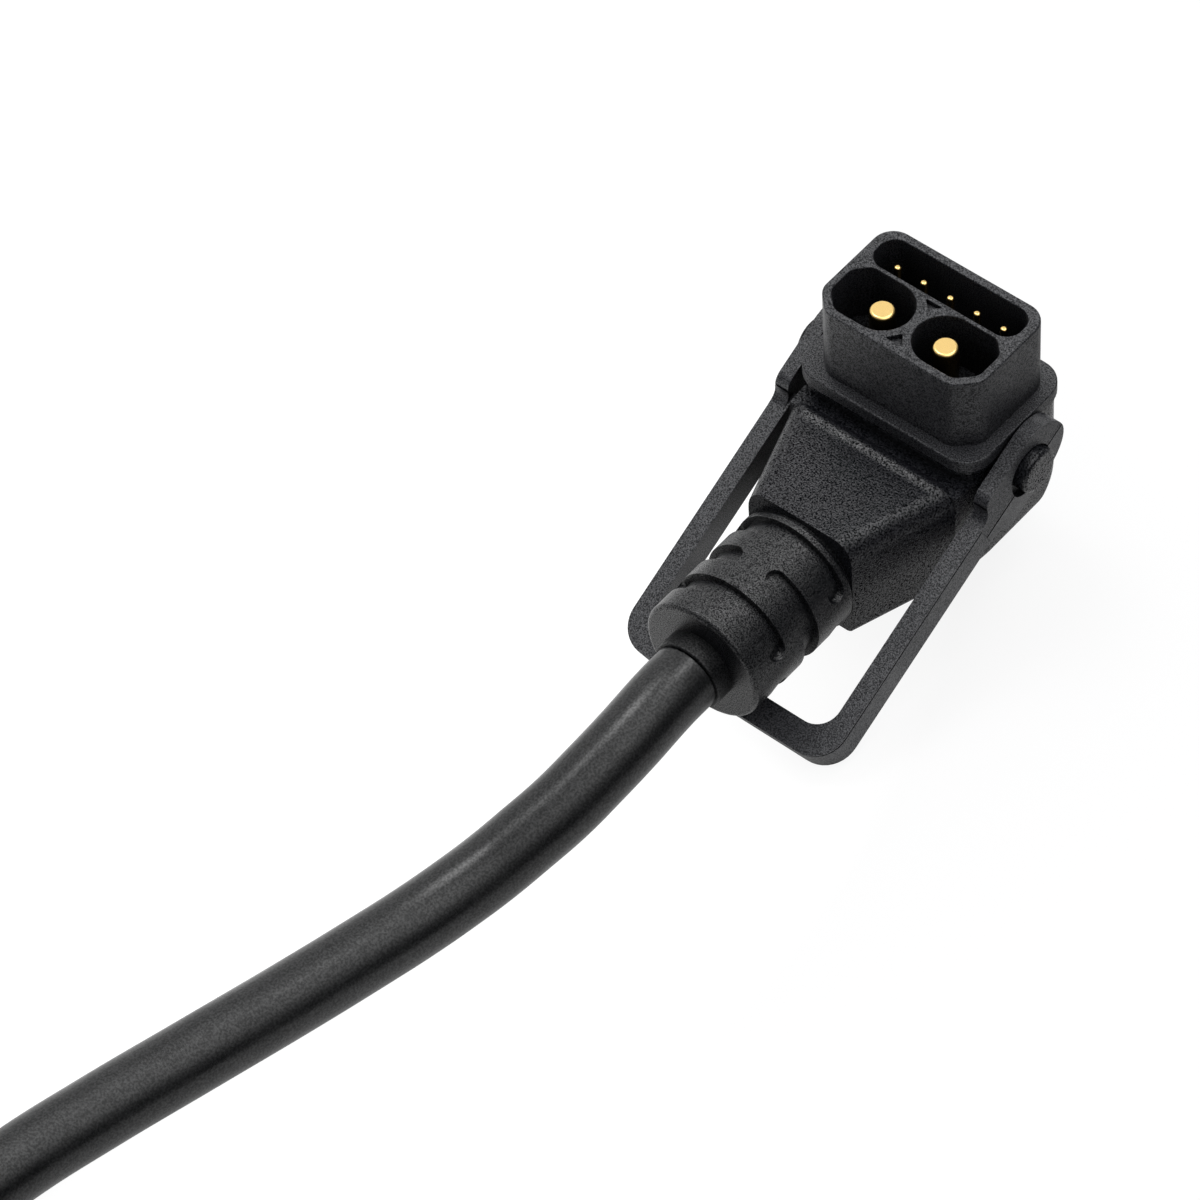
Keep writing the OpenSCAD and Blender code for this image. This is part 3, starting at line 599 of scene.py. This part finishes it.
def add_lead():
    steps = 52
    path = LEAD_ROUTE + [coil_point(COIL_TURN * k / steps) for k in range(1, steps + 1)]
    jacket = new_curve("lead_jacket", path, LEAD_R)
    jacket.data.materials.append(pvc)
    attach(jacket, "plug")
    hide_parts("lead_run", "lead_coil")
    sweep = math.degrees(CORE_L / COIL_R)
    cores = []
    rows = [
        ("power_core_red", CORE_SHIFT + 2, 0, POWER_CORE_R, "wire_red", "power_core_positive"),
        ("power_core_black", CORE_SHIFT - 2, 0, POWER_CORE_R, "wire_black", "power_core_negative"),
    ]
    colours = ("wire_white", "wire_yellow", "wire_green", "wire_blue", "wire_brown")
    for i, colour in enumerate(colours):
        shift = CORE_SHIFT + (i - 2) * 1.5
        rows.append(("signal_core_" + colour[5:], shift, CORE_LIFT, SIGNAL_CORE_R, colour, "signal_cores"))
    for name, shift, lift, r, colour, node in rows:
        knots = 8
        covered = sweep * INSULATED_SHARE + 2
        insulated = [coil_point(COIL_TURN - 2 + covered * k / knots, shift, lift) for k in range(knots + 1)]
        strand = [
            coil_point(COIL_TURN + sweep * (INSULATED_SHARE - 0.05 + 0.25 * k / 4), shift, lift)
            for k in range(5)
        ]
        core = new_curve(name, insulated, r, 6)
        core.data.materials.append(insulation[colour])
        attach(core, "plug")
        tip = new_curve(name + "_copper", strand, r * 0.72, 6)
        tip.data.materials.append(copper)
        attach(tip, "plug")
        if node != "signal_cores" or colour == "wire_white":
            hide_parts(node)
        cores += [core, tip]


add_lead()


# Nose, flange and contacts


def add_nose():
    x0, x1, y0, y1 = POWER_CHAMBER
    r_round = (y1 - y0) / 2
    r_outer, r_inner = POWER_CHAMBER_R
    right = cut_corner(x1, y0, r_outer, -1, 1)[::-1] + cut_corner(x1, y1, r_inner, -1, -1)
    right += [(x0, y1, r_round), (x0, y0, r_round)]
    left = [(-x, y, r) for x, y, r in reversed(right)]
    signal = rectangle(*SIGNAL_CHAMBER, *SIGNAL_CHAMBER_R)
    pockets = []
    for base, apex in POCKETS:
        side = POCKET_HALF if base < apex else -POCKET_HALF
        r = POCKET_CORNER_R
        pockets.append([(-side, base, r), (side, base, r), (0, apex, r)])
    half = NOSE_W / 2
    wall = cut_corner(-half, -NOSE_POWER_SIDE, NOSE_POWER_R, 1, 1)
    wall += cut_corner(half, -NOSE_POWER_SIDE, NOSE_POWER_R, -1, 1)[::-1]
    wall += [(half, NOSE_SIGNAL_SIDE, NOSE_SIGNAL_R), (-half, NOSE_SIGNAL_SIDE, NOSE_SIGNAL_R)]
    shape = bmesh.new()

    def raise_rings(corners, levels, steps):
        rings = []
        for z, grow in levels:
            rings.append([shape.verts.new((x, y, z)) for x, y in outline(corners, grow, steps)])
        for lower, upper in zip(rings, rings[1:]):
            for k in range(len(lower)):
                n = (k + 1) % len(lower)
                shape.faces.new((lower[k], lower[n], upper[n], upper[k]))
        shape.faces.new(rings[0])

    raise_rings(wall, [(-0.3, 0)] + rounding(NOSE_H, RIM_EDGE, -1), 10)
    for corners, depth, edge in (
        (right, NOSE_H - CHAMBER_FLOOR, MOUTH_EDGE), (left, NOSE_H - CHAMBER_FLOOR, MOUTH_EDGE),
        (signal, NOSE_H - CHAMBER_FLOOR, MOUTH_EDGE), (pockets[0], POCKET_DEPTH, POCKET_EDGE),
        (pockets[1], POCKET_DEPTH, POCKET_EDGE),
    ):
        floor = NOSE_H - depth
        levels = [(floor, 0)] + [(z, -grow) for z, grow in rounding(NOSE_H, edge, -1)]
        steps = 12 if depth > POCKET_DEPTH else 3
        raise_rings(corners, levels, steps)
    bmesh.ops.remove_doubles(shape, verts=shape.verts, dist=MERGE)
    rim = [edge for edge in shape.edges if edge.is_boundary]
    bmesh.ops.triangle_fill(shape, use_beauty=True, use_dissolve=False, edges=rim)
    bmesh.ops.recalc_face_normals(shape, faces=shape.faces)
    bmesh.ops.scale(shape, vec=(MM, MM, MM), verts=shape.verts)
    mesh = bpy.data.meshes.new("moulded_nose")
    shape.to_mesh(mesh)
    shape.free()
    nose = bpy.data.objects.new("moulded_nose", mesh)
    bpy.context.scene.collection.objects.link(nose)
    dress(nose, "plug", "shroud_nylon", nylon, "shroud_housing")
    w, d, r = FLANGE
    corners = rectangle(-w / 2, w / 2, -d / 2, d / 2, r, r)
    levels = rounding(-FLANGE_T, FLANGE_BASE_EDGE, 1)[::-1] + rounding(0, FLANGE_TOP_EDGE, -1)
    flange = new_piece("moulded_flange", prism(corners, levels, 10))
    dress(flange, "plug", "shroud_nylon", nylon, "shroud_housing")


def add_contacts():
    profile = [(POWER_R, -FLANGE_T)]
    profile += [(POWER_R + grow, z) for z, grow in rounding(POWER_TIP, POWER_TIP_R, -1, 6)]
    for name, side in (("power_pin_positive", 1), ("power_pin_negative", -1)):
        pin = new_piece(
            name + "_turned", moved(lathe(profile, 64), Matrix.Translation((side * POWER_X, POWER_Y, 0)))
        )
        dress(pin, "plug", "contact_gold", gold, name)
    nose = [(SIGNAL_R, -FLANGE_T)]
    nose += [(SIGNAL_R + grow, z) for z, grow in rounding(SIGNAL_TIP, SIGNAL_TIP_R, -1)]
    for i in range(SIGNAL_COUNT):
        x = (i - (SIGNAL_COUNT - 1) / 2) * SIGNAL_PITCH
        place = Matrix.Translation((x, SIGNAL_Y, 0))
        pin = new_piece(f"signal_pin_{i + 1}_turned", moved(lathe(nose, 32), place))
        dress(pin, "plug", "contact_gold", gold, f"signal_pin_{i + 1}")


add_nose()
add_contacts()


# Body


def taper_ring(y, half, top_share, sink=0.0, steps=8):
    """Cross-section of the tapering part: broad elliptical upper corners, small lower ones and a sunk top."""
    ring = []
    crest_x = half - CREST_W
    crest_z = BODY_TOP - CREST_H
    base_x = half - BASE_R
    base_z = BODY_BASE + BASE_R
    for k in range(steps + 1):
        angle = math.pi / 2 * k / steps
        ring.append((base_x + BASE_R * math.sin(angle), y, base_z - BASE_R * math.cos(angle)))
    for k in range(steps + 1):
        angle = math.pi / 2 * k / steps
        height = CREST_H * top_share * math.sin(angle) - sink * math.sin(angle) ** 2
        ring.append((crest_x + CREST_W * top_share * math.cos(angle), y, crest_z + height))
    return ring + [(-x, y, z) for x, y, z in reversed(ring)]


def quarter(height, r):
    """How far a quarter round of radius r stands back at this height above its base."""
    below = max(1 - height / r, 0)
    return r * (1 - math.sqrt(1 - below * below))


def add_body():
    w, low, high, r = TRUNK
    lip_z = -FLANGE_T - LIP_T
    heights = [BASE_R * (1 - math.cos(math.pi / 2 * k / 5)) for k in range(5)]
    heights += [BASE_R + (HEEL_R - BASE_R) * k / 10 for k in range(11)] + [lip_z + 0.2 - BODY_BASE]
    levels = []
    for height in heights:
        inset = quarter(height, BASE_R)
        far_r = BASE_R + (r - BASE_R) * min(height / HEEL_R, 1)
        far_side = high - quarter(height, HEEL_R)
        corners = rectangle(inset - w / 2, w / 2 - inset, low + inset, far_side, r, far_r)
        levels.append([(x, y, BODY_BASE + height) for x, y in outline(corners, 0, 10)])
    body = new_piece("moulded_body", skin(levels))
    rings = [taper_ring(TAPER_REAR, TAPER_REAR_HALF, 1, TOP_SINK)]
    for k in range(5):
        share = k / 4
        y = TAPER_FRONT - TOP_SINK_W * (1 - share)
        widening = TAPER_FRONT_HALF - TAPER_REAR_HALF
        half = TAPER_REAR_HALF + widening * (y - TAPER_REAR) / (TAPER_FRONT - TAPER_REAR)
        rings.append(taper_ring(y, half, 1, TOP_SINK * (1 - share * share * (3 - 2 * share))))
    for k in range(1, 9):
        share = math.sin(math.pi / 2 * k / 8)
        y = TAPER_FRONT + CREST_FRONT * share
        rings.append(taper_ring(y, TAPER_FRONT_HALF, max(math.sqrt(1 - share * share), 0.03)))
    taper = new_piece("taper", skin(rings))
    valley = new_piece("valley", prism(
        [
            (-TAPER_FRONT_HALF, TAPER_FRONT, 0.05), (TAPER_FRONT_HALF, TAPER_FRONT, 0.05),
            (VALLEY_END_HALF, VALLEY_END, 0.05), (-VALLEY_END_HALF, VALLEY_END, 0.05),
        ],
        [(BODY_BASE + 0.3, 0), (VALLEY, 0)], 2,
    ))
    fw, fd, fr = FLANGE
    lip_corners = rectangle(
        LIP_INSET - fw / 2, fw / 2 - LIP_INSET, LIP_INSET - fd / 2, fd / 2 - LIP_INSET, fr, fr
    )
    lip = new_piece("lip", prism(lip_corners, [(lip_z, 0), (-FLANGE_T, 0)], 10))
    combine(body, [taper, valley, lip], "UNION")
    soften(body, BODY_EDGE)
    parts = []
    for side in (1, -1):
        turn = Matrix.Translation(PIVOT) @ Matrix.Rotation(math.radians(90 * side), 4, "Y")
        boss = [(BOSS_R, BOSS_START)]
        boss += [(BOSS_R + grow, z) for z, grow in rounding(BOSS_END, BOSS_EDGE, -1)]
        pin = [(TRUNNION_R, BOSS_START)]
        pin += [(TRUNNION_R + grow, z) for z, grow in rounding(TRUNNION_END, TRUNNION_EDGE, -1)]
        parts += [moved(lathe(boss), turn), moved(lathe(pin), turn)]
    dress(body, "plug", "body_plastic", body_tpe, "body_overmould")
    trunnions = new_piece("body_trunnions", *parts)
    dress(trunnions, "plug", "body_plastic", body_tpe, "body_overmould")


add_body()


# Boot and sleeve


def slot_cutter(name, start, end, along):
    """A channel with round ends round the boot's axis, between two angles in degrees."""
    outer = BOOT_R + 0.6
    floor = BOOT_R - SLOT_DEPTH
    half = SLOT_W / 2
    cap = math.degrees(half / BOOT_R)
    spots = []
    for k in range(9):
        share = k / 8
        angle = start + cap * (1 - math.cos(math.pi / 2 * share))
        spots.append((angle, max(half * math.sin(math.pi / 2 * share), 0.02)))
    middle = round((end - start - 2 * cap) / 3)
    for k in range(1, middle):
        spots.append((start + cap + (end - start - 2 * cap) * k / middle, half))
    for angle, height in reversed(spots[:9]):
        spots.append((start + end - angle, height))
    rings = []
    for angle, height in spots:
        a = math.radians(angle)
        rings.append([
            (r * math.cos(a), r * math.sin(a), along + h)
            for r, h in ((outer, -height), (outer, height), (floor, height), (floor, -height))
        ])
    return new_piece(name, skin(rings))


def add_boot():
    place = Matrix.Translation((0, TAPER_REAR, LEAD_Z)) @ Matrix.Rotation(math.radians(90), 4, "X")
    profile = [(NECK_R, -0.5), (NECK_R, NECK_L)]
    profile += [(BOOT_R + grow, z) for z, grow in rounding(NECK_L, NECK_EDGE, 1)[::-1]]
    profile += [(BOOT_R + grow, z) for z, grow in rounding(BOOT_L, BOOT_END_R, -1, 6)]
    boot = new_piece("slotted_boot", lathe(profile, 128))
    cutters = []
    for row, along in enumerate(SLOT_ROWS):
        shift = 90 if row == 1 else 0
        for half in (0, 180):
            start = SLOT_BRIDGE + shift + half
            cutters.append(slot_cutter(f"slot_{row}_{half}", start, start + 180 - 2 * SLOT_BRIDGE, along))
    combine(boot, cutters, "DIFFERENCE")
    soften(boot, SLOT_EDGE)
    boot.data.transform(Matrix.Scale(1 / MM, 4))
    boot.data.transform(place)
    boot.data.transform(Matrix.Scale(MM, 4))
    dress(boot, "plug", "boot_elastomer", boot_tpe, "strain_relief")
    inner = LEAD_R + 0.05
    ring = [(inner, 0), (SLEEVE_R, 0)]
    ring += [(SLEEVE_R + grow, z) for z, grow in rounding(SLEEVE_L, SLEEVE_END_R, -1)]
    ring += [(inner + 0.3, SLEEVE_L), (inner, SLEEVE_L - 0.3)]
    tip = Matrix.Translation((0, TAPER_REAR - BOOT_L, LEAD_Z)) @ Matrix.Rotation(math.radians(90), 4, "X")
    sleeve = new_piece("smooth_exit_sleeve", moved(lathe(ring, closed=True), tip))
    dress(sleeve, "plug", "sleeve_elastomer", sleeve_tpe, "exit_sleeve")


add_boot()


# Handle


def add_handle():
    start = HUB_TAIL - 0.8
    inner = BOW_HALF - ARM_T
    grip = BOW_END - GRIP_W
    plan = [
        (BOW_HALF, -BOW_END, GRIP_OUTER_R), (BOW_HALF, -start, 0.05), (inner, -start, 0.05),
        (inner, -grip, GRIP_INNER_R), (-inner, -grip, GRIP_INNER_R), (-inner, -start, 0.05),
        (-BOW_HALF, -start, 0.05), (-BOW_HALF, -BOW_END, GRIP_OUTER_R),
    ]
    bow = new_piece("pull_bow", prism(plan, [(-ARM_HALF_D, 0), (ARM_HALF_D, 0)], 10))
    tail = HUB_TAIL + HUB_STEP_R + 0.6
    side_view = [
        (-HUB_REACH, -HUB_HALF, HUB_HALF), (HUB_TAIL, -HUB_HALF, HUB_STEP_R),
        (HUB_TAIL, -ARM_HALF_D, HUB_STEP_R), (tail, -ARM_HALF_D, 0.05), (tail, 0, 0.05),
        (tail, ARM_HALF_D, 0.05), (HUB_TAIL, ARM_HALF_D, HUB_STEP_R),
        (HUB_TAIL, HUB_HALF, HUB_STEP_R), (-HUB_REACH, HUB_HALF, HUB_HALF),
    ]
    points = outline(side_view, 0, 10)
    hubs = []
    for side in (1, -1):
        inside = [(side * (HUB_OUTER - HUB_T), -x, y) for x, y in points]
        outside = [(side * (HUB_OUTER - HUB_DRAFT * abs(y) / HUB_HALF), -x, y) for x, y in points]
        verts, faces = skin([inside, outside], cap=False)
        n = len(points)
        faces.append(tuple(range(n)))
        middle = [k for k in range(n) if abs(points[k][1]) < 0.001 and points[k][0] > 0]
        first = min(middle)
        last = max(range(n), key=lambda k: -points[k][0] - abs(points[k][1]))
        upper = [n + k % n for k in range(first, last + 1 if last > first else last + n + 1)]
        lower = [n + k % n for k in range(last, first + 1 if first > last else first + n + 1)]
        faces += [tuple(upper), tuple(lower)]
        hubs.append(new_piece("hub", (verts, faces)))
    combine(bow, hubs, "UNION")
    holes = []
    for side in (1, -1):
        turn = Matrix.Rotation(math.radians(90 * side), 4, "Y")
        shifted = Matrix.Translation((0, -EYE_RELIEF_SHIFT, 0)) @ turn
        eye = lathe([(EYE_R, 18), (EYE_R, 25)])
        relief = lathe([(EYE_RELIEF_R, HUB_OUTER - EYE_RELIEF_DEPTH), (EYE_RELIEF_R, 25)])
        holes += [new_piece("eye", moved(eye, turn)), new_piece("relief", moved(relief, shifted))]
    combine(bow, holes, "DIFFERENCE")
    soften(bow, HANDLE_EDGE)
    lines = []
    for side in (1, -1):
        depth = (HUB_OUTER - SEAM_DEPTH, HUB_OUTER + 1)
        seam = prism(
            rectangle(*sorted((side * depth[0], side * depth[1])), -tail, HUB_REACH + 1, 0.01, 0.01),
            [(-SEAM_W / 2, 0), (SEAM_W / 2, 0)], 1,
        )
        lines.append(new_piece("seam", seam))
    groove_top = ARM_HALF_D - SEAM_BELOW_TOP
    band = outline([
        (BOW_HALF - SEAM_DEPTH, -BOW_END + SEAM_DEPTH, GRIP_OUTER_R), (BOW_HALF - SEAM_DEPTH, -tail, 0.05),
        (BOW_HALF + 1, -tail, 0.05), (BOW_HALF + 1, -BOW_END - 1, GRIP_OUTER_R + 1.3),
        (-BOW_HALF - 1, -BOW_END - 1, GRIP_OUTER_R + 1.3), (-BOW_HALF - 1, -tail, 0.05),
        (SEAM_DEPTH - BOW_HALF, -tail, 0.05), (SEAM_DEPTH - BOW_HALF, -BOW_END + SEAM_DEPTH, GRIP_OUTER_R),
    ][::-1], 0, 10)
    groove = skin([[(x, y, z) for x, y in band] for z in (groove_top - SEAM_W, groove_top)])
    lines.append(new_piece("groove", groove))
    combine(bow, lines, "DIFFERENCE")
    place = Matrix.Translation(Vector(PIVOT) * MM) @ Matrix.Rotation(math.radians(REST_ANGLE), 4, "X")
    bow.data.transform(place)
    dress(bow, "handle", "handle_nylon", handle_nylon, "pull_handle")


add_handle()


# Hidden pieces keep their solids and get their own finishes

INNER = {
    "contact_carrier": inner_nylon, "body_core": inner_nylon, "lead_end": pvc,
    "power_wire_positive": insulation["wire_red"], "power_wire_negative": insulation["wire_black"],
    "signal_wire_1": insulation["wire_white"], "signal_wire_2": insulation["wire_yellow"],
    "signal_wire_3": insulation["wire_green"], "signal_wire_4": insulation["wire_blue"],
    "signal_wire_5": insulation["wire_brown"], "power_sleeve_positive": shrink_red,
    "power_sleeve_negative": shrink_black, "signal_sleeves": shrink_black,
}
for node_name, finish in INNER.items():
    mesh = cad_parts[node_name].data
    mesh.materials.clear()
    mesh.materials.append(finish)


# Floor, light and background


# Soft lights of the studio: the way to each, how narrow it is and how bright.
# In order: a wide one overhead, a small bright one in it to the left, one high on the right, a small bright
# one high at the back, a weak fill from the left and a low one behind the part.
SOFTBOXES = (
    ((-0.3, 0.15, 0.94), 3, 0.75), ((-0.42, 0.05, 0.9), 80, 10), ((0.45, -0.05, 0.89), 8, 2.2),
    ((0.05, 0.44, 0.9), 80, 6), ((-0.98, 0.2, 0), 1.5, 0.9), ((-0.35, 0.93, 0.1), 10, 1.0),
)
AMBIENT = 0.1
# Painted pool of light on the paper: where it glows brightest, so that the part mirrors it there, and how far
# away that has faded to painted shade, in metres
PAINTED_POOL_AT = (-0.13, -0.1, TABLE_Z * MM)
PAINTED_POOL_REACH = 0.44
PAINTED_POOL_GLOW = 1.5
# How much of the paper's brightness is painted glow, as the part mirrors it and as the camera sees it
MIRRORED_PAINTED_GLOW_SHARE = 0.4
SEEN_GLOW_SHARE = 0.85
FLOOR_REACH = 3000
FLOOR_T = 20
FLOOR_GAP = 0.05


def add_floor():
    corners = rectangle(-FLOOR_REACH, FLOOR_REACH, -FLOOR_REACH, FLOOR_REACH, 1, 1)
    floor = new_piece("floor", prism(corners, [(TABLE_Z - FLOOR_T, 0), (TABLE_Z - FLOOR_GAP, 0)], 1))
    material, tree = new_material("white_paper_sweep")
    place = add(tree, "ShaderNodeNewGeometry").outputs["Position"]
    away = add(tree, "ShaderNodeVectorMath", {0: place, 1: PAINTED_POOL_AT}, operation="DISTANCE")
    # Painted pool of light: near the part the paper is light and glows, farther away it fades
    painted_pool = add(
        tree, "ShaderNodeMapRange",
        {"Value": away.outputs["Value"], "From Max": PAINTED_POOL_REACH, "To Min": 1.0, "To Max": 0.0},
        interpolation_type="SMOOTHSTEP",
    )
    # Painted shade: away from the pool the paper's own colour turns dark grey
    shade = add(
        tree, "ShaderNodeMix",
        {"Factor": painted_pool.outputs["Result"], "A": linear("#202020"), "B": linear("#f6f6f6")}, data_type="RGBA",
    )
    path = add(tree, "ShaderNodeLightPath")
    seen = path.outputs["Is Camera Ray"]
    colour = add(
        tree, "ShaderNodeMix",
        {"Factor": seen, "A": shade.outputs["Result"], "B": linear("#e9e9ea")}, data_type="RGBA",
    )
    paper = add(tree, "ShaderNodeBsdfDiffuse", {"Color": colour.outputs["Result"]})
    # The paper glows as painted light, strongest near the part, though it is no lamp
    bright = add(tree, "ShaderNodeMath", {0: painted_pool.outputs["Result"], 1: PAINTED_POOL_GLOW}, operation="MULTIPLY")
    power = add(tree, "ShaderNodeMath", {0: seen, 1: bright.outputs[0]}, operation="MAXIMUM")
    glow = add(tree, "ShaderNodeEmission", {"Color": linear("#ffffff"), "Strength": power.outputs[0]})
    glossy = path.outputs["Is Glossy Ray"]
    mirrored = add(tree, "ShaderNodeMath", {0: glossy, 1: MIRRORED_PAINTED_GLOW_SHARE}, operation="MULTIPLY")
    viewed = add(tree, "ShaderNodeMath", {0: seen, 1: SEEN_GLOW_SHARE}, operation="MULTIPLY")
    share = add(tree, "ShaderNodeMath", {0: viewed.outputs[0], 1: mirrored.outputs[0]}, operation="MAXIMUM")
    mix = add(
        tree, "ShaderNodeMixShader", {0: share.outputs[0], 1: paper.outputs[0], 2: glow.outputs[0]}
    )
    close(tree, mix)
    floor.data.materials.append(material)


def add_light():
    """A world that is lit by the studio's soft lights and a weak even light."""
    world = bpy.data.worlds.new("studio")
    bpy.context.scene.world = world
    world.use_nodes = True
    tree = world.node_tree
    tree.nodes.clear()
    way = add(tree, "ShaderNodeTexCoord").outputs["Generated"]
    total = None
    for towards, sharpness, strength in SOFTBOXES:
        facing = add(
            tree, "ShaderNodeVectorMath", {0: way, 1: Vector(towards).normalized()}, operation="DOT_PRODUCT"
        )
        front = add(tree, "ShaderNodeMath", {0: facing.outputs["Value"], 1: 0.0}, operation="MAXIMUM")
        lobe = add(tree, "ShaderNodeMath", {0: front.outputs[0], 1: sharpness}, operation="POWER")
        total = add(
            tree, "ShaderNodeMath",
            {0: lobe.outputs[0], 1: strength, 2: total.outputs[0] if total else AMBIENT},
            operation="MULTIPLY_ADD",
        )
    air = add(tree, "ShaderNodeBackground", {"Color": (1, 1, 1, 1), "Strength": total.outputs[0]})
    add(tree, "ShaderNodeOutputWorld", {"Surface": air.outputs[0]})


add_floor()
add_light()

bpy.context.scene.view_settings.view_transform = "Standard"
